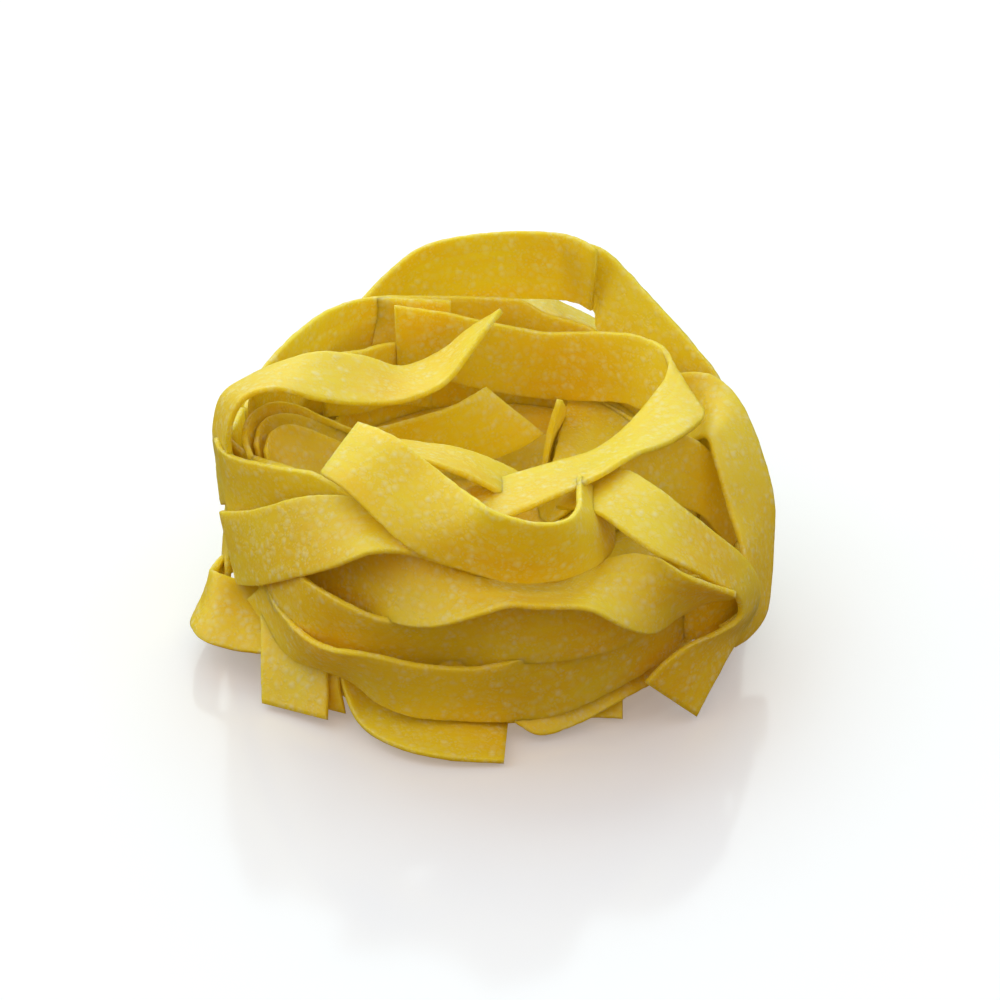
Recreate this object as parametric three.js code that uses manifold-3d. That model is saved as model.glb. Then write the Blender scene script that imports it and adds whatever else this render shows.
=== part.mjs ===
// A dry pasta nest: flat egg-pasta ribbons coiled into a low bowl and dried hard.
// The ribbons cling to each other, so the nest is one solid out to its uneven outline, in millimetres, +Z up.
// The origin is the middle of its base, which stands on z = 0. The front, where the loose ends lie, is -Y.
import * as THREE from 'three';
import { mergeVertices } from 'three/addons/utils/BufferGeometryUtils.js';
import Module from 'manifold-3d';

// The ribbon: one size all the way.
const RIBBON_WIDTH = 7.5;
const RIBBON_THICKNESS = 1.3;

// The bowl that the ribbons fuse into.
const BASE_RADIUS = 20;
const BELLY_RADIUS = 25.4;
const BELLY_HEIGHT = 9;
const RIM_RADIUS = 18.4;
const RIM_HEIGHT = 21.8;
const HOLLOW_RADIUS = 9.2;
const HOLLOW_FLOOR = 10.5;
const BACK_RISE = 4.2; // how much higher the rim stands at the back than at the sides
const FRONT_DROP = 0.6; // how much lower it stands at the front
const LUMP_DEPTH = 0.7; // how far the bowl's wall wanders in and out

// How finely the solid is faceted.
const BOWL_SIDES = 48;
const BOWL_RINGS = 14;
const STEP_DEGREES = 9;
const STEP_LENGTH = 3;
const SMALLEST_EDGE = 0.02;

const PASTA_YELLOW = '#dcb83a';

const wasm = await Module();
wasm.setup();

const toRadians = THREE.MathUtils.degToRad;

// Ribbons that run round the nest. An angle is counted from +X (the right side) through the back, in degrees.
// Each stop on the way holds the distance from the axis, the height of the ribbon's middle line, and its lean:
// 0 stands on edge, 90 lies flat with its width pointing outwards.
const turns = {
  // The back arch and the ribbon that carries it down the right side.
  backArch: { from: 50, to: 146, stops: [[22.5, 28.2, 10], [21.5, 29.4, 0], [22, 28.6, -4], [23, 26.2, 8]] },
  backRight: { from: 57, to: 8, stops: [[22.6, 27.6, 0], [24.4, 22.5, 8], [25.2, 18.2, 12]] },
  backLeft: { from: 138, to: 190, stops: [[22.6, 25.8, 20], [25.2, 22, 14], [26.6, 17.5, 6]] },

  // The right side: a high band, and the one outside it that bulges furthest.
  rightShoulder: { from: 42, to: -52, stops: [[22.5, 20.5, 30], [26.4, 17, 22], [27.8, 12.5, 10], [27.4, 8, -8]] },
  rightBelly: { from: 34, to: -20, stops: [[25.5, 9, 12], [28.4, 8.5, 4], [27.5, 6, -12]] },

  // The rim of the hollow.
  rimRight: { from: 84, to: -36, stops: [[14.2, 21.6, -6], [18.6, 21.2, 14], [20.6, 21.6, 32], [20.8, 21.8, 26]] },
  rimFront: { from: -36, to: -118, stops: [[20.8, 21.6, 26], [22.6, 21.4, 18], [21.6, 23.4, 24]] },
  rimLeft: { from: 118, to: 205, stops: [[17.6, 24.8, 58], [20.6, 24.4, 76], [22.6, 23.8, 62]] },

  // The hollow's wall and floor.
  wallLeft: { from: 208, to: 118, stops: [[16.6, 19.8, 24], [15, 19.2, 16], [13.8, 20.2, 8]] },
  wallBack: { from: 132, to: 30, stops: [[12.6, 16.2, 24], [12, 17, 16], [13.2, 16.6, 26]] },
  wallRight: { from: 48, to: -66, stops: [[14, 17.4, 22], [14.4, 18.2, 28], [14, 18.6, 26]] },
  wallFront: { from: -52, to: -150, stops: [[13.4, 18.2, 34], [14.8, 19.8, 40], [15.4, 20.2, 34]] },
  hollowFloor: { from: 10, to: 290, stops: [[8.6, 13.4, 48], [9.6, 13.8, 40], [8.8, 13.2, 56], [9.8, 14.2, 44]] },
  shoulderLeft: { from: 168, to: 246, stops: [[23, 21.2, 44], [22.4, 21.4, 40], [20.6, 21.6, 30]] },

  // The front, from the rim down: each band lies over the one below it.
  frontLeftHigh: { from: 176, to: 256, stops: [[26.2, 19.4, 8], [25.6, 19.6, 16], [23.6, 20.2, 26]] },
  frontLeft: { from: 188, to: 262, stops: [[26.6, 14.4, -6], [26.4, 16.4, 6], [25.4, 17.6, 12]] },
  frontMiddle: { from: 214, to: 304, stops: [[25, 11.8, -6], [25.6, 13.2, 6], [25.8, 15.8, 12], [25.4, 16.6, 8]] },
  frontLow: { from: 198, to: 322, stops: [[24.2, 9.6, -16], [25.8, 9, -10], [26.4, 9.2, -6], [26.2, 12, -4]] },
  frontBottom: { from: 206, to: 326, stops: [[23.2, 5.6, -20], [25.4, 5.2, -12], [26.2, 5.4, -10], [25.4, 8.4, -14]] },
  frontFoot: { from: 216, to: 272, stops: [[23.4, 4.6, -6], [26.4, 3.6, -16], [26.8, 3.7, -10]] },

  // The back and the foot.
  backHigh: { from: 20, to: 168, stops: [[24.4, 16.6, 6], [24.8, 19.2, 6], [24.6, 19, 4], [26.2, 15.6, 2]] },
  backMiddle: { from: 8, to: 186, stops: [[27, 12.6, 2], [26.2, 13.6, -4], [26.6, 12.2, 0], [26.8, 12, -2]] },
  backLow: { from: 18, to: 178, stops: [[26, 7, -8], [26.6, 6.6, -4], [26.2, 6.8, -10], [27.4, 7, -6]] },
  backFoot: { from: 30, to: 160, stops: [[22.6, 3.4, -24], [24.4, 3.2, -20], [22.8, 3.5, -26]] },
};

// Short ribbons that hang down the nest. Each stop holds the angle, the distance from the axis and the height
// of the ribbon's middle line; the width lies along the nest's side.
const hangers = {
  looseEndRight: [[-32, 27.4, 18], [-38, 28, 12.5], [-45, 28.4, 6.5], [-48, 28.6, 2.2]],
  looseEndLeft: [[221, 24.2, 11], [223.5, 26, 6], [224.5, 27.2, 0.4]],
  curlOutside: [[196, 25.8, 10.6], [195, 29.3, 8.2], [194, 29.4, 4], [197, 26.6, 1.1]],
  curlInside: [[206, 24.4, 9.4], [206, 27.2, 6.8], [206, 27.4, 3.6], [206, 25.4, 0.8]],
};

// How far the nest stands higher or lower at an angle than at its two sides.
function rise(angle) {
  const back = Math.sin(angle);
  return back > 0 ? BACK_RISE * back * back : -FRONT_DROP * back * back;
}

// The wall's wandering at an angle and a height: two slow waves that don't repeat together.
function lump(angle, height) {
  return LUMP_DEPTH * (0.6 * Math.sin(3 * angle + 0.25 * height) + 0.4 * Math.sin(7 * angle - 0.4 * height));
}

// A geometry as a manifold solid: shared vertices merged, and triangles that merging has closed up left out.
function solidOf(geometry) {
  const bare = geometry.clone();
  bare.deleteAttribute('normal');
  bare.deleteAttribute('uv');
  const merged = mergeVertices(bare, SMALLEST_EDGE / 10);
  const triangles = [];
  for (let i = 0; i < merged.index.count; i += 3) {
    const [a, b, c] = [0, 1, 2].map((corner) => merged.index.getX(i + corner));
    if (a !== b && b !== c && c !== a) triangles.push(a, b, c);
  }
  const mesh = new wasm.Mesh({
    numProp: 3,
    vertProperties: new Float32Array(merged.attributes.position.array),
    triVerts: new Uint32Array(triangles),
  });
  return new wasm.Manifold(mesh);
}

// The bowl: its section turned round the axis, then raised at the back and given an uneven wall.
function bowl() {
  const section = new THREE.SplineCurve([
    new THREE.Vector2(BASE_RADIUS, 0),
    new THREE.Vector2(BELLY_RADIUS - 1, BELLY_HEIGHT / 2),
    new THREE.Vector2(BELLY_RADIUS, BELLY_HEIGHT),
    new THREE.Vector2(BELLY_RADIUS - 1.5, (BELLY_HEIGHT + RIM_HEIGHT) / 2),
    new THREE.Vector2(RIM_RADIUS, RIM_HEIGHT),
    new THREE.Vector2(RIM_RADIUS - 3.4, RIM_HEIGHT - 2.6),
    new THREE.Vector2(HOLLOW_RADIUS, HOLLOW_FLOOR + 1.2),
  ]);
  const outline = [new THREE.Vector2(0, 0), ...section.getPoints(BOWL_RINGS), new THREE.Vector2(0, HOLLOW_FLOOR)];
  const turned = new THREE.LatheGeometry(outline, BOWL_SIDES);
  turned.rotateX(Math.PI / 2);
  const place = turned.attributes.position;
  for (let i = 0; i < place.count; i += 1) {
    const [x, y, z] = [place.getX(i), place.getY(i), place.getZ(i)];
    const radius = Math.hypot(x, y);
    if (radius < SMALLEST_EDGE) continue;
    const angle = Math.atan2(y, x);
    const scale = (radius + lump(angle, z)) / radius;
    place.setXYZ(i, x * scale, y * scale, z + (z / RIM_HEIGHT) ** 2 * rise(angle));
  }
  return solidOf(turned);
}

// A ribbon is a long box bent along its middle line. course(t) gives the middle line's point, and across(t)
// the direction of its width, both for t from 0 to 1.
function ribbon(course, across, steps) {
  const strip = new THREE.BoxGeometry(RIBBON_THICKNESS, RIBBON_WIDTH, 1, 1, 1, steps);
  const place = strip.attributes.position;
  const nudge = 0.5 / steps;
  for (let i = 0; i < place.count; i += 1) {
    const t = place.getZ(i) + 0.5;
    const ahead = course(Math.min(1, t + nudge));
    const behind = course(Math.max(0, t - nudge));
    const along = ahead.sub(behind).normalize();
    const wide = across(t);
    wide.addScaledVector(along, -wide.dot(along)).normalize();
    const outward = new THREE.Vector3().crossVectors(wide, along);
    const point = course(t).addScaledVector(outward, place.getX(i)).addScaledVector(wide, place.getY(i));
    place.setXYZ(i, point.x, point.y, point.z);
  }
  return solidOf(strip);
}

// The point at an angle, a distance from the axis and a height.
function around(angle, radius, height) {
  return new THREE.Vector3(radius * Math.cos(angle), radius * Math.sin(angle), height);
}

// A ribbon that runs round the nest between two angles.
function turn({ from, to, stops }) {
  const spline = new THREE.CatmullRomCurve3(stops.map((stop) => new THREE.Vector3(...stop)));
  const angleAt = (t) => toRadians(THREE.MathUtils.lerp(from, to, t));
  const course = (t) => {
    const stop = spline.getPoint(t);
    return around(angleAt(t), stop.x, stop.y);
  };
  const across = (t) => {
    const lean = toRadians(spline.getPoint(t).z);
    return around(angleAt(t), Math.sin(lean), Math.cos(lean));
  };
  return ribbon(course, across, Math.ceil(Math.abs(to - from) / STEP_DEGREES));
}

// A ribbon that hangs down the nest's side through the given stops.
function hanger(stops) {
  const points = stops.map(([angle, radius, height]) => around(toRadians(angle), radius, height));
  const spline = new THREE.CatmullRomCurve3(points);
  const course = (t) => spline.getPoint(t);
  const across = (t) => {
    const point = spline.getPoint(t);
    return new THREE.Vector3(-point.y, point.x, 0).normalize();
  };
  return ribbon(course, across, Math.ceil(spline.getLength() / STEP_LENGTH));
}

// What stands above the ground plane.
function standing(solid) {
  const reach = 4 * BELLY_RADIUS;
  const above = new THREE.BoxGeometry(reach, reach, reach);
  above.translate(0, 0, reach / 2);
  return solid.intersect(solidOf(above));
}

// The one outer skin: ribbons that meet can shut a pocket in, and its skin is left out.
function outerSkin(solid) {
  return solid.decompose().reduce((most, one) => (one.volume() > most.volume() ? one : most));
}

// The solid's mesh, with the middle of its base at the origin.
function geometryOf(solid) {
  const mesh = solid.getMesh();
  const geometry = new THREE.BufferGeometry();
  geometry.setAttribute('position', new THREE.BufferAttribute(new Float32Array(mesh.vertProperties), 3));
  geometry.setIndex(new THREE.BufferAttribute(new Uint32Array(mesh.triVerts), 1));
  geometry.computeBoundingBox();
  const { min, max } = geometry.boundingBox;
  geometry.translate(-(min.x + max.x) / 2, -(min.y + max.y) / 2, -min.z);
  geometry.computeVertexNormals();
  return geometry;
}

function nest() {
  const ribbons = [...Object.values(turns).map(turn), ...Object.values(hangers).map(hanger)];
  const whole = ribbons.reduce((joined, one) => joined.add(one), bowl());
  const pasta = new THREE.MeshStandardMaterial({ color: PASTA_YELLOW, roughness: 0.55, metalness: 0 });
  const mesh = new THREE.Mesh(geometryOf(outerSkin(standing(whole))), pasta);
  mesh.name = 'nest';
  return mesh;
}

const pastaNest = new THREE.Group();
pastaNest.add(nest());

export default pastaNest;
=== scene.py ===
"""Dry pasta nest: broad egg-pasta ribbons coiled into a low bowl, dried hard, on a white glossy floor.

Lengths in the tables are millimetres. X points right, Y away from the front, Z up; the nest stands on Z = 0.
"""

import math

import bmesh
import bpy
import numpy as np
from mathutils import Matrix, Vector, noise


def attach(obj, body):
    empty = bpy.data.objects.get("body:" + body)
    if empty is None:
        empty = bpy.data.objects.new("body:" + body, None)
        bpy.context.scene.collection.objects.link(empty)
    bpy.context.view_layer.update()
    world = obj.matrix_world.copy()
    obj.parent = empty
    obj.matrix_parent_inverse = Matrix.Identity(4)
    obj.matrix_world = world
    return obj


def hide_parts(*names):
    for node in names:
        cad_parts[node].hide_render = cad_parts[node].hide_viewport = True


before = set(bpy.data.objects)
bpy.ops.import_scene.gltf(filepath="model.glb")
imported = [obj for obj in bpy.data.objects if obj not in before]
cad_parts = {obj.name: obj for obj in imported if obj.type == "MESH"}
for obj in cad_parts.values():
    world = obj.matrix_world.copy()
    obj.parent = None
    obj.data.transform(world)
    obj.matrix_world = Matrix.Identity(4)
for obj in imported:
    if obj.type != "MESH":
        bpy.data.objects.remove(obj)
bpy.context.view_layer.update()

bl_info = {
    "name": "Dry Pasta Nest",
    "version": (1, 0, 0),
    "blender": (4, 5, 0),
    "location": "View3D > Sidebar > Pasta Nest",
    "description": "Builds a nest of dry flat egg pasta over its solid frame",
    "category": "Object",
}

MM = 0.001
NODE = "nest"
BODY = "root"

# The front view's plane, in which most ribbons are laid out. It passes through VIEW_TARGET and is square to
# the line of sight, which looks down on the nest from the front.
VIEW_ELEVATION = math.radians(30)
VIEW_DISTANCE = 450.0
VIEW_TARGET = np.array([1.6, 5.9, 10.22])
VIEW_LENS = 162.0
VIEW_RIGHT = np.array([1.0, 0.0, 0.0])
VIEW_UP = np.array([0.0, math.sin(VIEW_ELEVATION), math.cos(VIEW_ELEVATION)])
VIEW_AHEAD = np.array([0.0, math.cos(VIEW_ELEVATION), -math.sin(VIEW_ELEVATION)])
VIEW_EYE = VIEW_TARGET - VIEW_DISTANCE * VIEW_AHEAD

# Each table below is one piece, and each row a ribbon's course as a list of stops.
# A stop of six numbers is laid out in the view plane: right and up of one edge, right and up of the other
# edge, then how far back (Y) the ribbon's middle is, and the lean: +1 where the first edge is the farther,
# -1 where it is the nearer, 0 where the width lies in the plane.
# A stop of four numbers goes round the nest: angle in degrees from the right side through the back, distance
# from the axis, height, and lean in degrees, where 0 stands on edge and 90 lies flat.
# Ribbons that cross go in different tables where they can, because where two of one piece cut through each
# other the light that soaks into them leaves a dark line.

RIM = {
    "back_band": [
        (188, 23.6, 13.0, 4), (166, 22.4, 17.4, 0),
        (-18.0, 15.5, -19.5, 9.5, 12.0, -1), (-13.6, 20.2, -14.6, 13.6, 17.5, -1),
        (-11.3, 22.5, -12.0, 16.0, 19.5, -1), (-8.0, 25.0, -8.6, 18.6, 21.0, -1),
        (-4.0, 26.2, -4.2, 19.7, 21.8, -1), (1.0, 26.8, 1.0, 20.2, 22.0, -1),
        (5.5, 26.6, 5.3, 20.2, 21.4, -1), (8.0, 25.9, 7.6, 19.9, 20.6, -1),
        (9.6, 24.8, 9.3, 19.1, 19.6, -1)],
    "back_band_right": [
        (6.4, 26.0, 6.4, 20.4, 22.4, -1), (9.8, 25.1, 9.4, 19.0, 21.4, -1),
        (12.5, 22.9, 9.9, 17.0, 19.4, -1), (16.0, 19.2, 13.2, 13.4, 16.0, -1),
        (19.5, 15.2, 16.4, 9.5, 12.6, -1), (22.3, 10.8, 18.8, 5.2, 9.4, -1),
        (10, 22.0, 11.6, 14)],
    "left_arch": [
        (24, 20.4, 15.0, 8), (44, 19.8, 17.4, 2),
        (9.5, 16.8, 9.5, 10.3, 16.8, -1), (7.0, 17.9, 7.0, 11.4, 17.6, -1),
        (4.5, 18.6, 4.5, 12.1, 18.0, -1), (2.0, 19.9, 2.0, 13.4, 18.4, -1),
        (-2.0, 20.2, -2.0, 13.7, 18.6, -1), (-7.0, 20.3, -7.0, 13.8, 17.6, -1),
        (-12.5, 20.2, -12.0, 13.8, 15.4, -1), (-16.5, 19.1, -15.5, 12.9, 12.4, -1),
        (-19.5, 17.2, -18.3, 11.0, 9.0, -1), (-22.0, 15.0, -20.6, 8.8, 5.0, -1),
        (-24.2, 12.3, -22.8, 5.9, 1.4, -1), (-24.9, 9.4, -23.6, 2.8, -1.2, -1),
        (-24.4, 6.4, -23.4, 0.0, -3.4, -1)],
    "left_shoulder": [
        (0.1, 19.2, -1.2, 17.2, 8.6, 1), (-3.0, 17.4, -3.2, 14.5, 7.0, 1),
        (-6.3, 14.8, -5.8, 11.4, 4.8, 1), (-10.0, 13.3, -9.6, 9.7, 2.4, 1),
        (-14.0, 14.4, -13.6, 9.4, 0.6, 1), (-18.0, 14.8, -17.8, 9.9, -1.0, 1),
        (-21.6, 13.9, -21.8, 10.9, -2.0, 1), (-25.0, 12.5, -24.8, 10.4, -3.0, 1),
        (-27.9, 10.7, -26.2, 9.0, -3.8, 1), (-28.8, 7.9, -26.9, 6.6, -4.2, 1),
        (-28.7, 5.2, -26.7, 4.5, -4.0, 1), (-27.8, 2.6, -25.8, 2.2, -3.6, 1)],
    "hollow_back": [
        (-10.5, 19.4, -10.3, 12.9, 12.6, -1), (-6.0, 18.8, -6.0, 12.2, 13.6, -1),
        (-2.0, 17.9, -2.0, 11.2, 14.2, -1), (2.0, 17.1, 2.0, 10.5, 14.6, -1),
        (5.0, 16.7, 5.0, 10.1, 14.6, -1), (9.0, 16.8, 9.0, 9.9, 13.8, -1),
        (12.5, 16.5, 12.6, 9.9, 12.0, -0.8), (14.8, 15.9, 15.7, 8.8, 9.8, -0.2),
        (16.4, 14.9, 18.8, 8.9, 7.0, 0.5), (16.9, 13.6, 20.2, 8.9, 4.4, 0.9),
        (16.6, 12.2, 20.0, 7.8, 2.2, 1), (15.7, 10.7, 18.8, 6.9, -0.2, 1),
        (14.2, 8.8, 16.6, 5.6, -3.0, 1), (12.0, 6.5, 13.6, 4.6, -6.6, 1),
        (9.0, 4.6, 9.8, 2.4, -10.4, 1), (5.0, 3.5, 5.4, 0.3, -13.8, 1),
        (1.0, 2.4, 1.4, -1.4, -16.2, 1), (-3.4, 1.0, -2.6, -2.6, -17.8, 1)],
}

RIGHT_SIDE = {
    "right_outer": [
        (46, 22.8, 16.8, 6),
        (17.0, 12.4, 16.0, 6.0, 9.6, -0.5), (20.6, 11.9, 18.8, 6.4, 7.0, 0.3),
        (23.6, 10.7, 20.4, 6.2, 3.8, 1), (25.3, 7.6, 21.2, 4.4, 1.0, 1),
        (26.5, 4.0, 22.0, 2.0, -1.2, 1), (27.5, 0.0, 22.9, -1.2, -3.2, 1),
        (27.5, -4.0, 24.0, -4.6, -5.4, 1), (27.1, -8.0, 24.4, -8.0, -7.6, 1),
        (26.6, -11.4, 24.2, -10.6, -9.8, 1), (25.2, -13.6, 23.0, -11.8, -11.6, 1),
        (23.6, -14.8, 21.8, -12.6, -13.2, 1)],
    "front_right_fall": [
        (8.6, 3.6, 5.6, -0.8, -10.4, 1), (12.6, 3.0, 9.6, -1.4, -14.4, 1),
        (15.4, 1.5, 12.7, -3.4, -17.0, 1), (18.0, -0.5, 15.5, -5.3, -18.4, 1),
        (21.0, -2.9, 18.5, -6.8, -18.2, 1), (23.5, -5.0, 21.0, -8.2, -16.8, 1),
        (25.4, -7.2, 23.2, -9.5, -14.6, 1), (26.0, -9.3, 23.8, -10.8, -13.2, 1),
        (25.5, -11.2, 23.4, -12.0, -13.4, 1), (24.0, -13.6, 21.2, -13.2, -15.4, 1),
        (22.6, -16.2, 18.5, -14.4, -17.6, 1), (21.0, -19.2, 16.2, -16.2, -19.2, 1),
        (19.7, -21.7, 14.4, -18.1, -20.0, 1)],
    "tucked_end": [
        (14.6, -7.4, 14.6, -13.4, -14.8, -1), (18.0, -7.6, 18.0, -13.9, -14.8, -1),
        (21.0, -7.4, 21.0, -13.8, -13.8, -1), (23.2, -7.2, 23.2, -13.4, -11.4, -1),
        (24.2, -6.8, 24.0, -12.8, -8.0, -1), (2, 25.0, 5.4, -4), (20, 25.2, 5.4, -6)],
}

FRONT_HIGH = {
    "front_rim": [
        (-14.2, 7.8, -17.8, 2.6, -14.6, 1), (-10.5, 6.2, -15.4, 1.0, -17.4, 0.9),
        (-7.0, 3.2, -12.1, -1.7, -20.0, 0.5), (-3.8, 0.5, -8.6, -4.5, -22.6, -0.2),
        (-1.3, -0.9, -4.0, -6.6, -24.4, -0.9), (1.3, -1.8, 0.6, -8.1, -25.0, -1),
        (4.3, -2.3, 5.0, -8.1, -24.4, -1), (6.6, -1.9, 9.0, -7.0, -22.6, -1),
        (7.7, -0.7, 11.3, -5.0, -19.2, -1), (7.8, 0.7, 11.4, -2.4, -15.6, -1),
        (7.8, 2.4, 11.2, -0.6, -12.4, -1)],
    "front_left": [
        (160, 24.8, 7.6, 6),
        (-26.6, -0.9, -25.2, -7.2, -1.4, -1), (-27.5, -1.5, -26.3, -7.9, -7.4, -0.4),
        (-24.6, -1.3, -24.0, -8.2, -13.0, -0.4), (-21.0, -0.1, -20.5, -7.6, -17.0, 0),
        (-17.4, 0.3, -16.8, -6.6, -19.8, 0.7), (-13.6, 0.0, -13.0, -5.4, -20.8, 1),
        (-9.6, -1.2, -9.0, -5.3, -20.0, 1), (-5.6, -3.4, -5.0, -6.3, -19.0, 1),
        (-1.6, -5.4, -1.0, -7.8, -18.4, 1)],
    "left_band": [
        (160, 25.4, 16.8, 4), (174, 26.0, 15.6, 2),
        (-28.2, 6.2, -27.3, -0.4, -4.2, -1), (-27.6, 5.0, -26.9, -1.8, -6.6, -1),
        (-25.8, 4.2, -25.0, -2.6, -9.0, -1), (-22.0, 3.4, -21.2, -3.2, -12.0, -1),
        (-18.4, 2.6, -17.4, -3.8, -14.4, -1), (-14.8, 0.4, -13.6, -5.8, -16.6, -1),
        (-11.0, -1.6, -9.8, -7.8, -17.8, -1)],
    "front_low": [
        (-23.0, -3.4, -26.0, -5.6, -8.1, -1), (-22.0, -5.4, -24.8, -7.6, -11.5, -1),
        (-20.6, -6.8, -23.6, -9.4, -15.1, -1), (-19.0, -8.0, -21.8, -12.0, -18.3, -1),
        (-17.2, -9.2, -19.4, -14.2, -20.6, -1), (-14.8, -10.5, -16.4, -15.2, -22.0, -1),
        (-12.4, -11.5, -13.6, -16.2, -22.4, -1), (-9.0, -12.0, -9.8, -17.0, -22.2, -1),
        (-4.2, -11.5, -4.6, -17.2, -21.9, -1), (1.0, -9.7, 1.0, -16.5, -22.8, -1),
        (6.0, -9.2, 6.6, -16.0, -22.6, -1), (10.0, -8.4, 11.4, -15.0, -21.8, -1),
        (13.4, -7.0, 15.8, -12.6, -19.8, -1), (17.0, -5.0, 19.4, -9.8, -16.0, -1)],
    "right_foot": [
        (0.8, -14.6, 1.4, -22.2, -19.8, 1), (3.7, -16.0, 4.0, -23.5, -20.4, 1),
        (7.2, -15.0, 7.8, -22.3, -18.8, 1), (11.0, -13.2, 12.0, -20.0, -16.6, 1),
        (14.4, -11.6, 15.4, -18.2, -13.4, 1), (17.6, -10.4, 18.6, -16.2, -10.0, 1)],
}

FRONT_LOW = {
    "left_high_behind": [
        (166, 24.4, 17.0, 4),
        (-27.0, 6.6, -26.4, 0.2, -2.4, -1), (-26.4, 5.6, -25.8, -0.8, -4.2, -1),
        (-24.6, 4.4, -24.0, -2.0, -6.6, -1), (-21.4, 3.4, -20.8, -3.0, -9.8, -1),
        (-17.8, 2.0, -17.0, -4.4, -12.6, -1), (-14.0, 0.2, -13.0, -6.0, -14.4, -1)],
    "front_middle": [
        (-18.4, -1.8, -21.0, -7.4, -13.0, -1), (-15.2, -3.4, -17.6, -9.4, -17.0, -1),
        (-11.8, -4.4, -13.6, -11.2, -20.4, -1), (-8.8, -5.0, -10.2, -12.0, -22.8, -0.2),
        (-6.0, -5.4, -7.0, -12.5, -23.6, 0.6), (-2.6, -6.4, -3.2, -11.8, -23.9, 1),
        (0.6, -8.1, 0.6, -10.6, -23.8, 1), (3.6, -8.8, 3.8, -10.7, -23.6, 1),
        (6.4, -8.5, 6.8, -10.6, -23.4, 1), (9.0, -6.9, 9.4, -11.0, -23.4, 1),
        (12.0, -5.8, 12.0, -12.3, -23.4, 0.8), (15.0, -6.1, 14.8, -12.8, -23.0, -0.2),
        (18.0, -7.2, 17.6, -11.9, -21.4, -1), (20.9, -8.5, 20.5, -10.5, -19.2, -1),
        (23.4, -9.4, 23.2, -9.9, -16.6, -1)],
    "front_bottom": [
        (-23.2, -8.2, -25.4, -10.0, -10.4, -1), (-21.6, -11.0, -23.2, -13.2, -14.5, -1),
        (-19.2, -13.4, -20.8, -15.8, -18.5, -1), (-16.8, -14.7, -17.8, -16.9, -21.3, -1),
        (-14.4, -15.1, -14.8, -18.2, -22.6, -1), (-11.4, -15.6, -12.0, -20.4, -23.3, -1),
        (-7.6, -16.3, -8.4, -21.7, -23.4, -1), (-2.4, -16.6, -3.0, -22.1, -23.0, -1),
        (2.0, -15.8, 2.0, -22.1, -22.7, -1), (6.2, -14.6, 6.8, -21.2, -21.9, -1),
        (10.4, -12.8, 11.8, -18.8, -20.2, -1), (14.0, -10.6, 16.0, -16.2, -18.0, -1),
        (17.4, -8.6, 19.0, -13.6, -15.0, -1)],
    "front_foot": [
        (-11.8, -11.0, -15.3, -14.8, -12.2, 1), (-12.0, -13.6, -15.8, -17.4, -14.4, 1),
        (-11.8, -15.4, -15.3, -19.7, -16.4, 1), (-11.6, -17.4, -14.2, -22.0, -18.4, 1),
        (-10.6, -19.0, -12.4, -23.5, -20.6, 1), (-8.6, -20.6, -9.5, -24.8, -22.6, 1),
        (-5.2, -21.3, -5.6, -25.6, -23.6, 1), (0.9, -21.6, 0.4, -25.9, -23.6, 1)],
}

LOOSE_ENDS = {
    "left_loose_end": [
        (-24.6, -4.6, -18.2, -6.0, -6.4, 1), (-24.2, -8.6, -17.6, -10.0, -10.4, 1),
        (-24.0, -12.8, -17.2, -14.2, -13.8, 1), (-24.0, -17.0, -17.1, -18.4, -16.6, 1),
        (-23.9, -20.4, -17.2, -21.9, -18.6, 1)],
    "right_foot_end": [
        (6.6, -14.8, 6.8, -22.0, -16.2, 1), (9.6, -14.4, 9.8, -21.7, -16.6, 1),
        (12.2, -14.4, 12.2, -21.8, -17.0, 1)],
    "foot_strip": [
        (-21.0, -9.4, -15.0, -10.8, -11.6, 1), (-21.8, -13.6, -15.6, -15.0, -13.8, 1),
        (-22.4, -17.0, -15.9, -18.2, -16.0, 1), (-22.5, -19.6, -15.4, -21.3, -17.6, 1)],
    "back_cross": [
        (170, 25.8, 15.4, 4), (142, 26.9, 14.6, 4), (112, 27.0, 11.2, 0), (82, 26.9, 7.6, -6),
        (50, 26.4, 5.4, -8)],
}

TUCKED = {
    "left_curl": [
        (-21.0, -9.0, -21.4, -15.4, -10.0, 1), (-25.0, -8.4, -25.0, -15.2, -9.4, 1),
        (-28.4, -7.2, -28.8, -14.4, -8.4, 1), (-28.9, -6.9, -30.4, -13.0, -5.6, 1),
        (-27.9, -5.6, -30.4, -11.6, -1.6, 1), (-26.8, -5.0, -29.0, -10.4, 2.4, 1)],
    "right_tucked": [
        (10.0, 4.0, 11.4, -2.8, -7.0, -0.5), (13.6, 5.8, 14.4, -1.2, -4.4, -0.5),
        (17.0, 6.6, 17.6, -0.4, -2.0, -0.5), (20.0, 5.6, 20.4, -1.6, -1.2, -0.5),
        (22.4, 2.8, 22.6, -4.4, -0.4, -0.5), (24.4, -0.4, 24.4, -7.4, 0.4, -0.5),
        (14, 26.0, 9.6, 0), (34, 25.4, 9.4, -4)],
    "wall_ribbon": [
        (-64, 12.8, 14.6, 30), (-20, 13.6, 14.6, 26), (20, 18.0, 13.0, 12),
        (60, 18.4, 13.2, 8), (95, 17.4, 14.0, 8), (135, 16.8, 14.4, 14),
        (180, 14.2, 14.6, 26), (215, 14.0, 15.0, 30)],
    "floor_ribbon": [
        (10, 9.0, 12.0, 50), (70, 10.4, 12.2, 46), (130, 10.2, 12.2, 50), (190, 9.6, 12.4, 48),
        (250, 9.2, 12.8, 46), (310, 9.0, 13.0, 44)],
}

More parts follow.
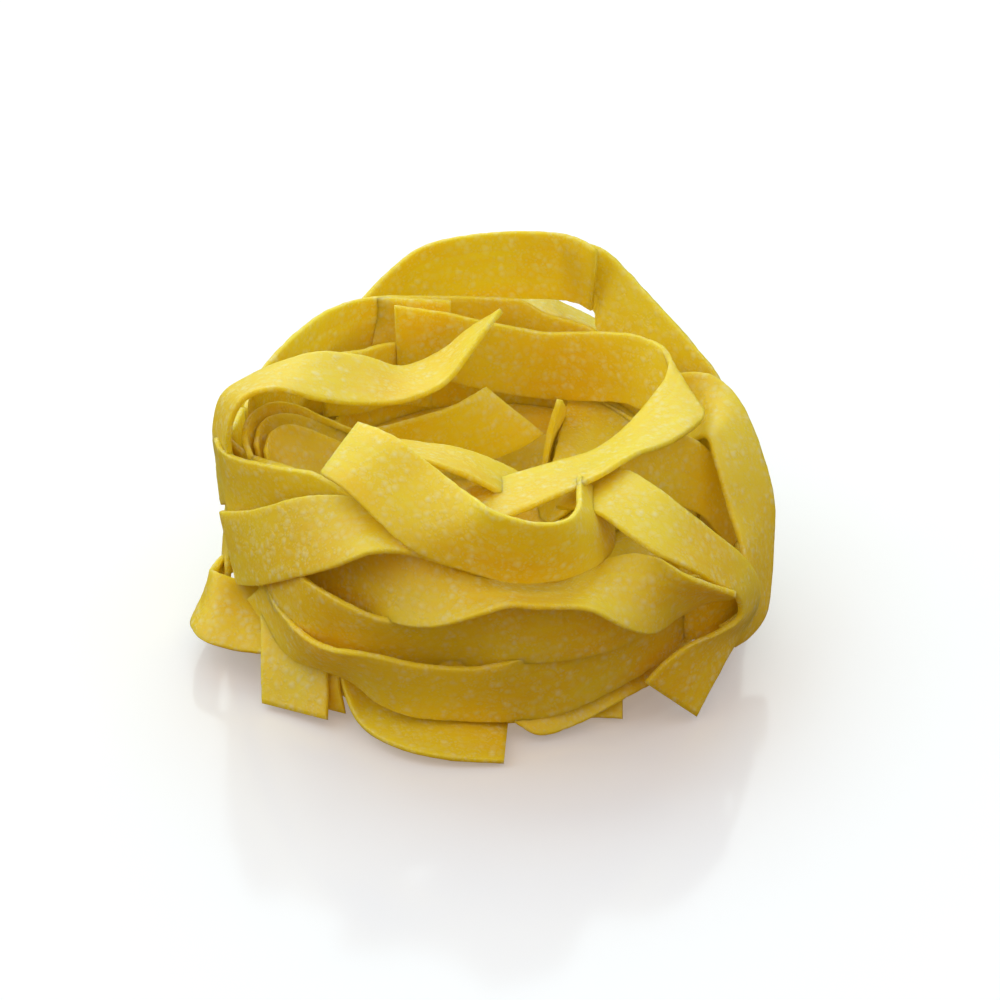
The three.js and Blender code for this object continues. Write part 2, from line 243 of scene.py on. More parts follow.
HOLLOW = {
    "pocket_curl": [
        (-14.0, 6.8, -13.4, 0.4, 1.4, -1), (-17.6, 8.0, -17.0, 1.7, 0.8, -0.6),
        (-20.4, 9.0, -19.6, 2.7, 0.0, -0.3), (-22.8, 9.3, -21.4, 2.9, -1.4, -0.3),
        (-24.6, 8.2, -22.8, 2.0, -3.0, -0.5), (-25.4, 6.4, -23.8, 0.4, -5.2, -0.8),
        (-24.8, 4.6, -24.0, -1.6, -6.8, -1)],
    "pocket_inner": [
        (-14.0, 5.6, -13.6, -0.8, -1.2, 0.2), (-17.8, 7.2, -17.0, 0.6, -1.8, 0.4),
        (-20.4, 8.2, -19.2, 1.7, -2.5, 0.5), (-22.4, 8.1, -21.0, 1.7, -3.5, 0.4),
        (-23.9, 7.1, -22.4, 0.7, -4.8, 0.0), (-24.4, 5.3, -23.2, -1.1, -6.1, -0.6)],
    "pocket_heart": [
        (-14.0, 4.4, -13.8, -2.2, -3.4, 0.2), (-17.2, 5.9, -16.6, -0.7, -3.8, 0.4),
        (-19.6, 6.9, -18.6, 0.4, -4.4, 0.5), (-21.4, 7.1, -20.2, 0.6, -5.2, 0.4),
        (-22.8, 6.2, -21.4, -0.2, -6.2, 0.0), (-23.3, 4.6, -22.2, -1.8, -7.2, -0.6)],
    "hollow_cut_end": [
        (-18.0, 6.0, -17.4, 0.0, 1.0, -1), (-13.0, 6.8, -12.5, 1.2, 2.0, -1),
        (-8.0, 8.1, -8.0, 2.4, 3.5, -1), (-4.5, 9.3, -3.0, 3.6, 5.0, -1),
        (-2.6, 10.4, 1.4, 4.9, 6.0, -1), (-1.4, 11.3, 4.4, 6.6, 7.0, -1)],
    "strip_behind_rim": [
        (-15.0, 6.5, -14.6, 4.8, -11.4, 1), (-11.4, 6.2, -11.0, 4.5, -12.4, 1),
        (-8.0, 5.7, -7.6, 3.9, -13.0, 1), (-5.0, 5.2, -4.8, 3.0, -13.4, 1),
        (-2.2, 4.3, -2.6, 2.0, -13.4, 1), (0.6, 3.1, -0.6, 0.9, -12.8, 1),
        (3.0, 2.0, 1.4, -0.6, -12.0, 1)],
    "upright_strip": [
        (5.8, 10.0, 6.3, 9.4, 9.0, -1), (5.3, 8.3, 6.2, 8.2, 8.6, -1),
        (4.9, 6.5, 5.6, 6.6, 8.2, -1), (4.6, 4.5, 5.2, 4.5, 7.8, -1),
        (4.4, 2.0, 5.0, 2.0, 7.4, -1)],
    "lit_patch": [
        (13.8, 10.8, 7.8, 10.8, 17.2, 0), (13.6, 8.8, 6.9, 9.0, 13.4, 0),
        (13.2, 6.0, 6.2, 6.6, 9.2, 0), (12.4, 3.0, 5.7, 4.2, 4.8, 0),
        (11.6, 0.0, 5.2, 1.6, 0.4, 0)],
    "lit_strip": [
        (-5.0, 18.4, -5.0, 14.6, 20.4, 0.6), (-2.0, 20.2, -2.0, 16.8, 22.0, 0.8),
        (1.0, 21.0, 1.0, 18.2, 22.8, 1), (4.0, 20.8, 4.2, 17.8, 22.8, 1),
        (6.6, 19.6, 6.9, 16.9, 22.6, 1), (8.6, 18.6, 9.2, 16.0, 22.0, 1),
        (10.8, 17.2, 11.6, 14.6, 20.4, 1), (13.2, 15.0, 14.0, 11.6, 18.0, 1)],
    "shaded_patch": [
        (-18.0, 14.4, -17.6, 8.4, 7.0, -1), (-14.0, 14.9, -13.8, 8.8, 9.6, -1),
        (-10.8, 15.7, -10.6, 9.6, 13.0, -1), (-7.0, 15.6, -7.0, 9.4, 15.6, -1)],
    "bright_strip": [
        (-6.0, 20.0, -11.3, 20.2, 15.4, 0), (-5.5, 17.0, -12.0, 17.8, 15.0, 0),
        (-5.5, 15.6, -12.7, 15.1, 14.4, 0)],
}

BACK = {
    "back_high": [
        (12, 24.2, 13.2, 8), (34, 24.6, 15.4, 8), (62, 24.8, 16.6, 6), (92, 24.8, 17.2, 4),
        (128, 24.9, 17.4, 2), (162, 25.4, 15.0, 4), (188, 25.0, 12.6, 0)],
    "back_low": [
        (4, 25.8, 7.0, -8), (44, 25.6, 7.6, -6), (88, 25.4, 6.2, -8), (130, 25.6, 5.2, -8),
        (172, 25.8, 6.4, -6)],
}

BACK_BETWEEN = {
    "back_middle": [
        (14, 26.0, 10.2, -4), (56, 25.8, 12.2, 0), (92, 25.8, 13.6, 4), (128, 26.3, 12.6, 0),
        (162, 26.4, 9.6, -4), (186, 25.2, 7.8, -6)],
    "back_foot": [
        (34, 23.6, 4.2, -20), (76, 24.4, 4.2, -16), (120, 24.0, 4.2, -18), (166, 23.8, 4.4, -16),
        (200, 22.6, 4.6, -14)],
}

UNDERSIDE = {
    "base_outer": [
        (-170, 18.4, 1.0, 82), (-110, 18.4, 0.9, 84), (-50, 17.6, 1.0, 84),
        (10, 18.8, 0.9, 82), (70, 19.2, 1.0, 84), (130, 19.6, 0.9, 84), (180, 19.2, 1.1, 80)],
    "base_inner": [
        (-60, 12.2, 1.5, 84), (0, 11.8, 1.4, 84), (60, 12.2, 1.5, 82), (120, 11.8, 1.4, 84),
        (180, 12.2, 1.5, 84), (240, 11.8, 1.4, 84), (290, 12.0, 1.5, 82)],
    "base_middle": [
        (-20, 5.6, 2.0, 84), (60, 5.2, 1.9, 84), (140, 5.6, 2.0, 82), (220, 5.2, 1.9, 84),
        (300, 5.6, 2.0, 84)],
}

# The core: distance from the axis and height down its section, from the hollow's floor to the base.
CORE_SECTION = [
    (0.0, 9.4), (5.0, 9.7), (8.0, 10.8), (11.0, 12.4), (14.0, 14.0), (17.0, 15.0), (19.4, 14.4),
    (21.2, 12.0), (22.0, 8.5), (21.4, 5.0), (19.0, 2.2), (10.0, 2.4), (0.0, 2.4)]

# Points on a course from one stop to the next, a corner's radius as a share of the ribbon's thickness, and
# the steps that turn the section round one edge.
PATH_POINTS = 24
CORNER_SHARE = 0.3
CORNER_STEPS = 4

# The ribbons' unevenness is noise that is shifted for each ribbon. These say how many ripples, grains and
# notches of the cut edge there are to a millimetre. A grain layer holds grains per millimetre, share of the
# grain's height, and place in the noise. FACES_APART keeps the ribbon's two faces from sharing a grain,
# and EDGE_LAYER is the notches' place in the noise.
RIPPLES_ACROSS = 0.12
RIPPLES_ALONG = 0.11
GRAIN_LAYERS = ((1.3, 1.0, 0), (2.6, 0.5, 9))
FACES_APART = 3
NOTCHES_ALONG = 1.4
EDGE_LAYER = 21
SEED_SHIFT = (17.3, 5.7, 11.1)

# Vertices closer than this are one, in millimetres.
RIBBON_MERGE = 0.0005
CORE_MERGE = 0.01

# The core is turned in this many steps. Its surface has this many lumps to a metre, and they are this many
# millimetres high.
CORE_STEPS = 72
CORE_LUMPS_PER_METRE = 120
CORE_LUMP_HEIGHT = 0.8

# The pasta's pattern, in millimetres: the spacing of the grains and of the finer ones between them, how far
# they are pushed about and over what distance, the size of the places where they crowd and of the patches of
# denser dough, the streaks that rolling leaves, how high the grains stand and how far light soaks in.
GRAIN_SPACING = 0.87
FINE_GRAIN_SPACING = 0.385
GRAIN_PUSH = 0.6
GRAIN_PUSH_SIZE = 0.625
CROWD_SIZE = 2.0
PATCH_SIZE = 12.5
STREAK_GAP = 0.714
STREAK_LENGTH = 25.0
GRAIN_RELIEF = 0.07
GLOW_DEPTH = 1.2

# How much of the speck colour the densest grains take, and how strongly the streaks tint the dough.
SPECK_STRENGTH = 0.8
STREAK_TINT = 0.12

# Sockets of a Mix node that mixes colours.
MIX_FACTOR = 0
MIX_FIRST = 6
MIX_SECOND = 7
MIX_RESULT = 2

# The sky: how bright it is overhead and below, and the heights between which one turns into the other, where
# 0 is the horizon and 1 is straight up.
SKY_LIGHT = 0.38
LOW_LIGHT = 0.24
SKY_FROM = -0.1
SKY_TO = 0.7

# Soft lamps: name, azimuth from the right through the back, elevation and spread in degrees, strength and
# colour.
LIGHTS = [
    ("soft_behind", 100, 36, 70, 1.4, "#F6FFF0"),
    ("soft_left", 178, 34, 70, 0.9, "#FFFFF6"),
    ("soft_right", 5, 34, 70, 0.35, "#FFFFFF"),
    ("soft_front", -92, 50, 60, 0.74, "#FFC48A"),
]

# Half the floor's width and how far the camera sees, in metres, and the camera's sensor, in millimetres.
FLOOR_REACH = 4.0
CAMERA_REACH = 20.0
CAMERA_SENSOR = 36.0


# ---------------------------------------------------------------- sizes and colours

class NestSizes(bpy.types.PropertyGroup):
    """Sizes of the ribbons and how finely they are modelled."""

    width: bpy.props.FloatProperty(
        name="Ribbon Width", description="Width of the flat ribbon", default=7.5 * MM, unit="LENGTH")
    thickness: bpy.props.FloatProperty(
        name="Ribbon Thickness", description="Thickness of the dried ribbon",
        default=0.58 * MM, unit="LENGTH")
    step: bpy.props.FloatProperty(
        name="Mesh Step", description="Distance between rows of the mesh along a ribbon",
        default=0.5 * MM, unit="LENGTH")
    wave: bpy.props.FloatProperty(
        name="Wave", description="How far a ribbon wanders in and out as it dries",
        default=0.28 * MM, unit="LENGTH")
    grain: bpy.props.FloatProperty(
        name="Grain", description="Height of the semolina grain on the surface",
        default=0.05 * MM, unit="LENGTH")
    frill: bpy.props.FloatProperty(
        name="Edge Frill", description="How far the cut edge wanders", default=0.07 * MM, unit="LENGTH")


class NestColours(bpy.types.PropertyGroup):
    """Colours of the pasta, the floor and the light from below, as sRGB hex values."""

    pasta: bpy.props.StringProperty(name="Pasta", description="Colour of the dough", default="#FBE337")
    pasta_deep: bpy.props.StringProperty(
        name="Deep", description="Where the dough is dense", default="#F8D626")
    speck: bpy.props.StringProperty(name="Specks", description="Pale semolina grains", default="#FFF3B4")
    floor: bpy.props.StringProperty(name="Floor", description="White glossy floor", default="#E2EEFF")
    low_light: bpy.props.StringProperty(
        name="Low Light", description="Warm light that comes back from below", default="#FFC88C")


# ---------------------------------------------------------------- ribbon courses

def view_stop(stop, width):
    """The middle of the ribbon and its width's direction, from a stop laid out in the view plane."""
    right_1, up_1, right_2, up_2, depth, lean = stop
    ray = VIEW_DISTANCE * VIEW_AHEAD + 0.5 * (right_1 + right_2) * VIEW_RIGHT + 0.5 * (up_1 + up_2) * VIEW_UP
    middle = VIEW_EYE + ray * (depth - VIEW_EYE[1]) / ray[1]
    scale = np.dot(middle - VIEW_EYE, VIEW_AHEAD) / VIEW_DISTANCE
    right = (right_1 - right_2) * scale
    up = (up_1 - up_2) * scale
    shown = math.hypot(right, up)
    if shown > width:
        right *= width / shown
        up *= width / shown
        shown = width
    away = lean * math.sqrt(width * width - shown * shown)
    across = right * VIEW_RIGHT + up * VIEW_UP + away * VIEW_AHEAD
    return middle, across / np.linalg.norm(across)


def round_stop(stop):
    """The middle of the ribbon and its width's direction, from a stop that goes round the nest."""
    angle, radius, height, lean = stop
    outward = np.array([math.cos(math.radians(angle)), math.sin(math.radians(angle)), 0.0])
    lean = math.radians(lean)
    middle = outward * radius + np.array([0, 0, height])
    return middle, outward * math.sin(lean) + np.array([0, 0, math.cos(lean)])


def smooth_path(points):
    """Points on a smooth curve through the given ones."""
    points = np.asarray(points, float)
    padded = np.vstack([2 * points[0] - points[1], points, 2 * points[-1] - points[-2]])
    path = []
    for k in range(len(points) - 1):
        before, here, there, after = padded[k:k + 4]
        for i in range(PATH_POINTS):
            t = i / PATH_POINTS
            path.append(0.5 * (2 * here + (there - before) * t
                               + (2 * before - 5 * here + 4 * there - after) * t ** 2
                               + (3 * here - before - 3 * there + after) * t ** 3))
    path.append(points[-1])
    return np.array(path)


def unit(rows):
    """Each row as a unit vector."""
    return rows / np.linalg.norm(rows, axis=1)[:, None]


def course(stops, width, step):
    """Evenly spaced middles, width directions and distances along a ribbon through its stops."""
    ends = [view_stop(s, width) if len(s) == 6 else round_stop(s) for s in stops]
    directions = [ends[0][1]]
    for _, direction in ends[1:]:
        directions.append(direction if np.dot(direction, directions[-1]) > 0 else -direction)
    middles = smooth_path([middle for middle, _ in ends])
    across = smooth_path(directions)
    along = np.concatenate([[0], np.cumsum(np.linalg.norm(np.diff(middles, axis=0), axis=1))])
    rows = max(4, round(along[-1] / step))
    even = np.linspace(0, along[-1], rows + 1)
    middles = np.stack([np.interp(even, along, middles[:, axis]) for axis in range(3)], axis=1)
    across = unit(np.stack([np.interp(even, along, across[:, axis]) for axis in range(3)], axis=1))
    return middles, across, even


# ---------------------------------------------------------------- meshes

def section(width, thickness, step):
    """The ribbon's section: points (across, out, normal across, normal out) all the way round it."""
    corner = CORNER_SHARE * thickness
    flat = 0.5 * width - corner
    count = round(2 * flat / step)
    points = []
    for side in (1, -1):
        for i in range(count):
            points.append((side * flat * (1 - 2 * i / count), side * 0.5 * thickness, 0.0, side))
        # The edge is two rounded corners with a point between them.
        for turn in range(CORNER_STEPS):
            angle = math.pi * turn / CORNER_STEPS
            lean_out = math.cos(angle)
            lean_across = -math.sin(angle)
            centre_out = (0.5 * thickness - corner) * np.sign(round(lean_out, 6))
            points.append((side * (-flat + corner * lean_across), side * (centre_out + corner * lean_out),
                           side * lean_across, side * lean_out))
    return points


def ribbon(bm, stops, sizes, seed):
    """Adds one ribbon to the mesh: a grid bent round its section and along its course, its ends closed."""
    width = sizes.width / MM
    thickness = sizes.thickness / MM
    step = sizes.step / MM
    wave = sizes.wave / MM
    grain = sizes.grain / MM
    frill = sizes.frill / MM
    middles, across, along = course(stops, width, step)
    ahead = unit(np.gradient(middles, axis=0))
    out = unit(np.cross(ahead, across))
    rim = section(width, thickness, step)
    rows = len(middles)
    made = bmesh.ops.create_grid(bm, x_segments=len(rim), y_segments=rows - 1, size=0.5)["verts"]
    uv_layer = bm.loops.layers.uv.verify()
    places = {}
    shift = Vector([seed * part for part in SEED_SHIFT])
    for vert in made:
        column = round((vert.co.x + 0.5) * len(rim)) % len(rim)
        row = round((vert.co.y + 0.5) * (rows - 1))
        side, height, normal_side, normal_out = rim[column]
        distance = along[row]
        ripple = wave * noise.noise(Vector((side * RIPPLES_ACROSS, distance * RIPPLES_ALONG, 0)) + shift)
        bump = 0.0
        for per_mm, share, layer in GRAIN_LAYERS:
            spot = Vector((side * per_mm, distance * per_mm, layer + FACES_APART * normal_out))
            bump += share * grain * noise.noise(spot + shift)
        notch = Vector((side, distance * NOTCHES_ALONG, EDGE_LAYER))
        wander = frill * normal_side * noise.noise(notch + shift)
        place = (middles[row] + across[row] * (side + normal_side * bump + wander)
                 + out[row] * (height + ripple + normal_out * bump))
        vert.co = Vector(place) * MM
        places[vert] = (side, distance)
    for face in {face for vert in made for face in vert.link_faces}:
        for loop in face.loops:
            side, distance = places[loop.vert]
            loop[uv_layer].uv = (side * MM, distance * MM)
    bmesh.ops.remove_doubles(bm, verts=made, dist=RIBBON_MERGE * MM)
    rims = [edge for edge in {e for v in made if v.is_valid for e in v.link_edges} if edge.is_boundary]
    bmesh.ops.holes_fill(bm, edges=rims, sides=0)


def keep_above_floor(bm):
    """Moves what would sink below the floor up to it."""
    for vert in bm.verts:
        vert.co.z = max(vert.co.z, 0.0)


def piece_from(bm, name, material):
    """A finished piece from a mesh: shaded smooth, riding on the body, standing for the frame's node."""
    bmesh.ops.recalc_face_normals(bm, faces=bm.faces)
    for face in bm.faces:
        face.smooth = True
    mesh = bpy.data.meshes.new(name)
    bm.to_mesh(mesh)
    bm.free()
    obj = bpy.data.objects.new(name, mesh)
    bpy.context.scene.collection.objects.link(obj)
    mesh.materials.append(material)
    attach(obj, BODY)
    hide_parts(NODE)
    return obj


def ribbon_group(name, courses, sizes, material, first_seed):
    """One piece made of several ribbons."""
    bm = bmesh.new()
    for seed, stops in enumerate(courses.values(), first_seed):
        ribbon(bm, stops, sizes, seed)
    keep_above_floor(bm)
    return piece_from(bm, name, material)


# ---------------------------------------------------------------- materials

def linear(hex_colour):
    """An sRGB hex colour as linear red, green, blue and alpha."""
    values = [int(hex_colour[i:i + 2], 16) / 255 for i in (1, 3, 5)]
    return [v / 12.92 if v <= 0.04045 else ((v + 0.055) / 1.055) ** 2.4 for v in values] + [1.0]


def add_node(tree, kind, settings=None, values=None, links=None):
    """Adds a node with its settings; values and (node, output) links go to inputs by name or number."""
    node = tree.nodes.new(kind)
    for name, value in (settings or {}).items():
        setattr(node, name, value)
    for name, value in (values or {}).items():
        node.inputs[name].default_value = value
    for name, (source, output) in (links or {}).items():
        tree.links.new(source.outputs[output], node.inputs[name])
    return node


def dry_egg_pasta(colours):
    """Dry egg pasta, rolled and cut: a dense, slightly see-through dough that glows where light comes in.

    Pale semolina grains of about half a millimetre lie just under a satin surface, and rolling leaves faint
    streaks along the ribbon.
    """
    material = bpy.data.materials.new("dry_egg_pasta")
    material.use_nodes = True
    tree = material.node_tree
    shader = tree.nodes["Principled BSDF"]
    place = add_node(tree, "ShaderNodeTexCoord")
    in_mm = add_node(tree, "ShaderNodeMapping", values={"Scale": (1 / MM, 1 / MM, 1 / MM)},
                     links={"Vector": (place, "Object")})

    # The grains are cells, pushed about so that they don't stand in rows, with finer ones between them.
    push = add_node(tree, "ShaderNodeTexNoise", values={"Scale": 1 / GRAIN_PUSH_SIZE, "Detail": 2.0},
                    links={"Vector": (in_mm, "Vector")})
    pushed = add_node(tree, "ShaderNodeVectorMath", {"operation": "MULTIPLY_ADD"},
                      values={1: (GRAIN_PUSH, GRAIN_PUSH, GRAIN_PUSH)},
                      links={0: (push, "Color"), 2: (in_mm, "Vector")})
    cells = add_node(tree, "ShaderNodeTexVoronoi", values={"Scale": 1 / GRAIN_SPACING},
                     links={"Vector": (pushed, 0)})
    grains = add_node(tree, "ShaderNodeMapRange", links={"Value": (cells, "Distance")},
                      values={"From Min": 0.08, "From Max": 0.52, "To Min": 1.0, "To Max": 0.0})
    fine_cells = add_node(tree, "ShaderNodeTexVoronoi", values={"Scale": 1 / FINE_GRAIN_SPACING},
                          links={"Vector": (pushed, 0)})
    fine_grains = add_node(tree, "ShaderNodeMapRange", links={"Value": (fine_cells, "Distance")},
                           values={"From Min": 0.08, "From Max": 0.5, "To Min": 0.7, "To Max": 0.0})
    all_grains = add_node(tree, "ShaderNodeMath", {"operation": "MAXIMUM"},
                          links={0: (grains, "Result"), 1: (fine_grains, "Result")})

    # They crowd together in some places and thin out in others.
    crowding = add_node(tree, "ShaderNodeTexNoise", values={"Scale": 1 / CROWD_SIZE, "Detail": 3.0},
                        links={"Vector": (in_mm, "Vector")})
    crowds = add_node(tree, "ShaderNodeMapRange", links={"Value": (crowding, "Fac")},
                      values={"From Min": 0.36, "From Max": 0.62, "To Min": 0.3, "To Max": 1.0})
    specks = add_node(tree, "ShaderNodeMath", {"operation": "MULTIPLY"},
                      links={0: (all_grains, 0), 1: (crowds, "Result")})

    # Slow patches of denser dough.
    patches = add_node(tree, "ShaderNodeTexNoise", values={"Scale": 1 / PATCH_SIZE, "Detail": 2.0},
                       links={"Vector": (in_mm, "Vector")})
    dense = add_node(tree, "ShaderNodeMapRange", links={"Value": (patches, "Fac")},
                     values={"From Min": 0.4, "From Max": 0.65})

    # Streaks run along the ribbon.
    own_map = add_node(tree, "ShaderNodeUVMap")
    stretched = add_node(tree, "ShaderNodeMapping", links={"Vector": (own_map, "UV")},
                         values={"Scale": (1 / (STREAK_GAP * MM), 1 / (STREAK_LENGTH * MM), 1.0)})
    rolling = add_node(tree, "ShaderNodeTexNoise", values={"Scale": 1.0, "Detail": 2.0},
                       links={"Vector": (stretched, "Vector")})
    streaks = add_node(tree, "ShaderNodeMapRange", links={"Value": (rolling, "Fac")},
                       values={"From Min": 0.35, "From Max": 0.7})

    dough = add_node(tree, "ShaderNodeMix", {"data_type": "RGBA"},
                     values={MIX_FIRST: linear(colours.pasta), MIX_SECOND: linear(colours.pasta_deep)},
                     links={MIX_FACTOR: (dense, "Result")})
    streaked = add_node(tree, "ShaderNodeMix", {"data_type": "RGBA", "blend_type": "SOFT_LIGHT"},
                        values={MIX_FACTOR: STREAK_TINT},
                        links={MIX_FIRST: (dough, MIX_RESULT), MIX_SECOND: (streaks, "Result")})
    paleness = add_node(tree, "ShaderNodeMath", {"operation": "MULTIPLY"}, values={1: SPECK_STRENGTH},
                        links={0: (specks, 0)})
    colour = add_node(tree, "ShaderNodeMix", {"data_type": "RGBA"},
                      values={MIX_SECOND: linear(colours.speck)},
                      links={MIX_FACTOR: (paleness, 0), MIX_FIRST: (streaked, MIX_RESULT)})
    roughness = add_node(tree, "ShaderNodeMapRange", values={"To Min": 0.36, "To Max": 0.56},
                         links={"Value": (rolling, "Fac")})
    bump = add_node(tree, "ShaderNodeBump", values={"Strength": 0.8, "Distance": GRAIN_RELIEF * MM},
                    links={"Height": (specks, 0)})
    tree.links.new(colour.outputs[MIX_RESULT], shader.inputs["Base Color"])
    tree.links.new(roughness.outputs["Result"], shader.inputs["Roughness"])
    tree.links.new(bump.outputs["Normal"], shader.inputs["Normal"])
    # Light goes deep into the dough; blue is lost first, so what comes through is a warm yellow.
    shader.inputs["IOR"].default_value = 1.5
    shader.inputs["Subsurface Weight"].default_value = 1.0
    shader.inputs["Subsurface Scale"].default_value = GLOW_DEPTH * MM
    shader.inputs["Subsurface Radius"].default_value = (1.0, 0.98, 0.45)
    return material


def white_acrylic(colours):
    """White acrylic sheet, cast and polished: it faintly mirrors what stands on it, in a soft shadow."""
    material = bpy.data.materials.new("white_acrylic")
    material.use_nodes = True
    shader = material.node_tree.nodes["Principled BSDF"]
    shader.inputs["Base Color"].default_value = linear(colours.floor)
    shader.inputs["Roughness"].default_value = 0.12
    shader.inputs["IOR"].default_value = 1.45
    # Light that enters the sheet elsewhere comes out under the nest too, so the shadow stays pale.
    shader.inputs["Emission Color"].default_value = (1, 1, 1, 1)
    shader.inputs["Emission Strength"].default_value = 0.2
    return material


def soft_sky(colours):
    """A white sky with no edge to it, dim and warm below the horizon."""
    world = bpy.data.worlds.new("soft_sky")
    world.use_nodes = True
    tree = world.node_tree
    gaze = add_node(tree, "ShaderNodeTexCoord")
    parts = add_node(tree, "ShaderNodeSeparateXYZ", links={"Vector": (gaze, "Generated")})
    height = add_node(tree, "ShaderNodeMapRange", values={"From Min": SKY_FROM, "From Max": SKY_TO},
                      links={"Value": (parts, "Z")})
    low = [LOW_LIGHT * value for value in linear(colours.low_light)[:3]] + [1.0]
    sky = add_node(tree, "ShaderNodeMix", {"data_type": "RGBA"},
                   values={MIX_FIRST: low, MIX_SECOND: [SKY_LIGHT] * 3 + [1.0]},
                   links={MIX_FACTOR: (height, "Result")})
    tree.links.new(sky.outputs[MIX_RESULT], tree.nodes["Background"].inputs["Color"])
    return world


# ---------------------------------------------------------------- operators

def pasta(context):
    """The one pasta material, made at its first use."""
    return bpy.data.materials.get("dry_egg_pasta") or dry_egg_pasta(context.scene.nest_colours)


class NEST_OT_core(bpy.types.Operator):
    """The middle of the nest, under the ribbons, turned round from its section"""

    bl_idname = "nest.core"
    bl_label = "Core"

    def execute(self, context):
        bm = bmesh.new()
        verts = [bm.verts.new((radius * MM, 0, height * MM)) for radius, height in CORE_SECTION]
        edges = [bm.edges.new(pair) for pair in zip(verts, verts[1:])]
        bmesh.ops.spin(bm, geom=verts + edges, cent=(0, 0, 0), axis=(0, 0, 1), angle=2 * math.pi,
                       steps=CORE_STEPS, use_merge=True)
        bmesh.ops.remove_doubles(bm, verts=bm.verts, dist=CORE_MERGE * MM)
        for vert in bm.verts:
            lump = noise.noise(vert.co * CORE_LUMPS_PER_METRE)
            outward = Vector((vert.co.x, vert.co.y, 0)).normalized()
            vert.co += outward * lump * CORE_LUMP_HEIGHT * MM
        piece_from(bm, "pasta_core", pasta(context))
        return {"FINISHED"}


class RibbonOperator:
    """What the operators that make a group of ribbons share."""

    def make(self, context, name, courses, first_seed):
        ribbon_group(name, courses, context.scene.nest_sizes, pasta(context), first_seed)
        return {"FINISHED"}


class NEST_OT_rim(RibbonOperator, bpy.types.Operator):
    """The ribbons that make the rim and arch over the back"""

    bl_idname = "nest.rim"
    bl_label = "Rim Ribbons"

    def execute(self, context):
        return self.make(context, "ribbons_rim", RIM, 1)


class NEST_OT_right(RibbonOperator, bpy.types.Operator):
    """The ribbons that fall down the right side, and the end tucked in behind them"""

    bl_idname = "nest.right_side"
    bl_label = "Right Side Ribbons"

    def execute(self, context):
        return self.make(context, "ribbons_right", RIGHT_SIDE, 11)


class NEST_OT_front_high(RibbonOperator, bpy.types.Operator):
    """The front rim, the bands round the left, the upper low ribbon and the right foot"""

    bl_idname = "nest.front_high"
    bl_label = "Upper Front Ribbons"

    def execute(self, context):
        return self.make(context, "ribbons_front_high", FRONT_HIGH, 21)


class NEST_OT_front_low(RibbonOperator, bpy.types.Operator):
    """The front ribbons that lie between and under those of the upper group"""

    bl_idname = "nest.front_low"
    bl_label = "Lower Front Ribbons"

    def execute(self, context):
        return self.make(context, "ribbons_front_low", FRONT_LOW, 31)


class NEST_OT_loose_ends(RibbonOperator, bpy.types.Operator):
    """The loose ends at the front foot and the ribbon that crosses the back"""

    bl_idname = "nest.loose_ends"
    bl_label = "Loose Ends"

    def execute(self, context):
        return self.make(context, "ribbons_loose_ends", LOOSE_ENDS, 41)


class NEST_OT_tucked(RibbonOperator, bpy.types.Operator):
    """The curl at the left foot, the ribbon tucked in at the right and the hollow's wall and floor"""

    bl_idname = "nest.tucked"
    bl_label = "Tucked Ribbons"

    def execute(self, context):
        return self.make(context, "ribbons_tucked", TUCKED, 91)


class NEST_OT_hollow(RibbonOperator, bpy.types.Operator):
    """The ribbons inside the hollow and the pocket, and the strips behind the arch"""

    bl_idname = "nest.hollow"
    bl_label = "Hollow Ribbons"

    def execute(self, context):
        return self.make(context, "ribbons_hollow", HOLLOW, 51)


class NEST_OT_back(RibbonOperator, bpy.types.Operator):
    """The high and the low ribbon round the back"""

    bl_idname = "nest.back"
    bl_label = "Back Ribbons"

    def execute(self, context):
        return self.make(context, "ribbons_back", BACK, 71)


class NEST_OT_back_between(RibbonOperator, bpy.types.Operator):
    """The ribbons round the back that lie between and under the others"""

    bl_idname = "nest.back_between"
    bl_label = "Back Ribbons Between"

    def execute(self, context):
        return self.make(context, "ribbons_back_between", BACK_BETWEEN, 76)


class NEST_OT_underside(RibbonOperator, bpy.types.Operator):
    """The coils that the nest stands on"""

    bl_idname = "nest.underside"
    bl_label = "Underside Ribbons"

    def execute(self, context):
        return self.make(context, "ribbons_underside", UNDERSIDE, 81)


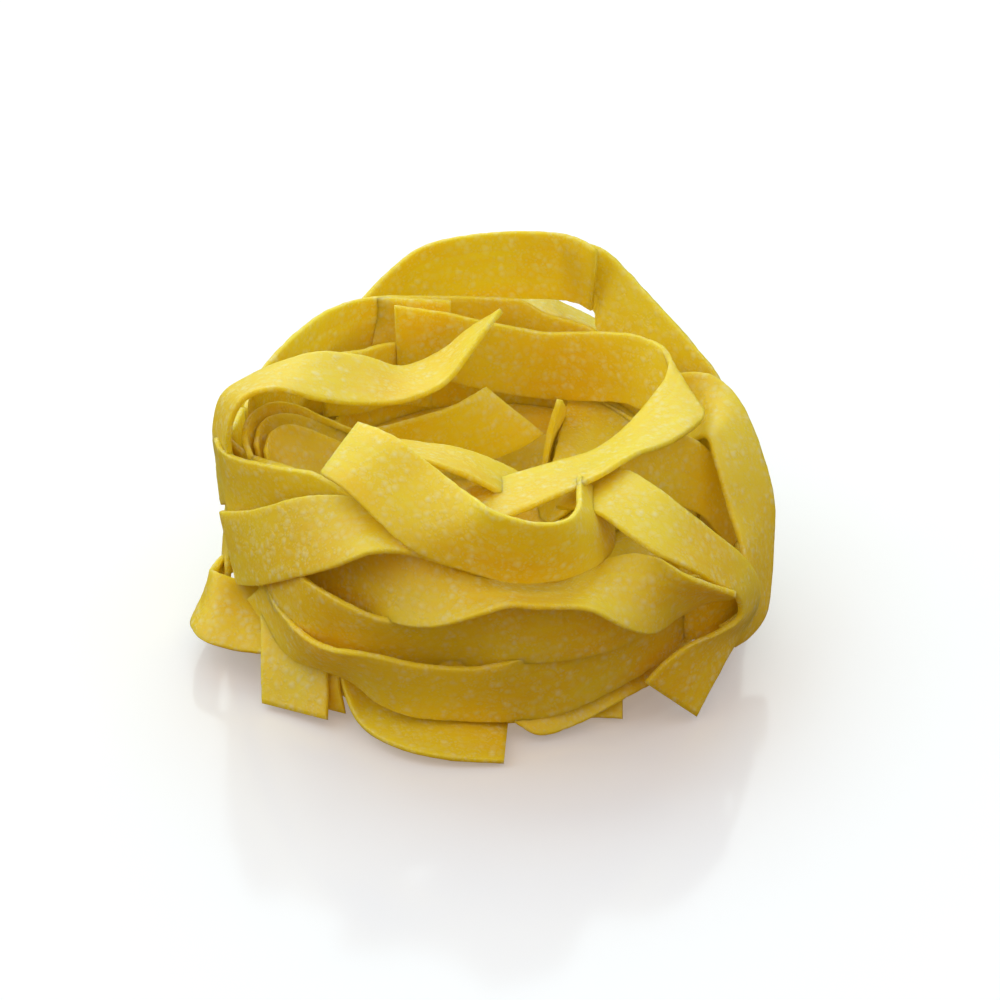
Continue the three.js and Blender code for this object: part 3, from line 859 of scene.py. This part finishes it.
class NEST_OT_stage(bpy.types.Operator):
    """White floor, soft light and the camera"""

    bl_idname = "nest.stage"
    bl_label = "Stage"

    def execute(self, context):
        scene = context.scene
        bm = bmesh.new()
        bmesh.ops.create_grid(bm, x_segments=1, y_segments=1, size=FLOOR_REACH)
        mesh = bpy.data.meshes.new("floor")
        bm.to_mesh(mesh)
        bm.free()
        floor = bpy.data.objects.new("floor", mesh)
        scene.collection.objects.link(floor)
        mesh.materials.append(white_acrylic(scene.nest_colours))
        # The floor looks white in the view but throws no light back on the nest.
        floor.visible_diffuse = False
        floor.visible_glossy = False

        scene.world = soft_sky(scene.nest_colours)
        for name, azimuth, elevation, spread, strength, colour in LIGHTS:
            lamp = bpy.data.lights.new(name, "SUN")
            lamp.energy = strength
            lamp.color = linear(colour)[:3]
            lamp.angle = math.radians(spread)
            obj = bpy.data.objects.new(name, lamp)
            scene.collection.objects.link(obj)
            azimuth = math.radians(azimuth)
            elevation = math.radians(elevation)
            level = math.cos(elevation)
            towards = Vector((level * math.cos(azimuth), level * math.sin(azimuth), math.sin(elevation)))
            obj.rotation_euler = towards.to_track_quat("Z", "Y").to_euler()

        camera = bpy.data.cameras.new("camera")
        camera.lens = VIEW_LENS
        camera.sensor_width = CAMERA_SENSOR
        camera.clip_end = CAMERA_REACH
        eye = bpy.data.objects.new("camera", camera)
        scene.collection.objects.link(eye)
        eye.location = VIEW_EYE * MM
        eye.rotation_euler = (math.pi / 2 - VIEW_ELEVATION, 0, 0)
        scene.camera = eye
        scene.view_settings.view_transform = "Standard"
        return {"FINISHED"}


class NEST_PT_panel(bpy.types.Panel):
    """Lists the pieces of the nest in the sidebar"""

    bl_idname = "NEST_PT_panel"
    bl_label = "Pasta Nest"
    bl_space_type = "VIEW_3D"
    bl_region_type = "UI"
    bl_category = "Pasta Nest"

    def draw(self, context):
        for group in (context.scene.nest_sizes, context.scene.nest_colours):
            for name in group.__annotations__:
                self.layout.prop(group, name)
        for operator in OPERATORS:
            self.layout.operator(operator.bl_idname)


OPERATORS = (
    NEST_OT_core, NEST_OT_rim, NEST_OT_right, NEST_OT_front_high, NEST_OT_front_low, NEST_OT_loose_ends,
    NEST_OT_tucked, NEST_OT_hollow, NEST_OT_back, NEST_OT_back_between, NEST_OT_underside, NEST_OT_stage)
CLASSES = (NestSizes, NestColours) + OPERATORS + (NEST_PT_panel,)


def register():
    for kind in CLASSES:
        bpy.utils.register_class(kind)
    bpy.types.Scene.nest_sizes = bpy.props.PointerProperty(type=NestSizes)
    bpy.types.Scene.nest_colours = bpy.props.PointerProperty(type=NestColours)


def unregister():
    del bpy.types.Scene.nest_colours
    del bpy.types.Scene.nest_sizes
    for kind in reversed(CLASSES):
        bpy.utils.unregister_class(kind)


def main():
    register()
    bpy.ops.nest.core()
    bpy.ops.nest.rim()
    bpy.ops.nest.right_side()
    bpy.ops.nest.front_high()
    bpy.ops.nest.front_low()
    bpy.ops.nest.loose_ends()
    bpy.ops.nest.tucked()
    bpy.ops.nest.hollow()
    bpy.ops.nest.back()
    bpy.ops.nest.back_between()
    bpy.ops.nest.underside()
    bpy.ops.nest.stage()


if __name__ == "__main__":
    main()
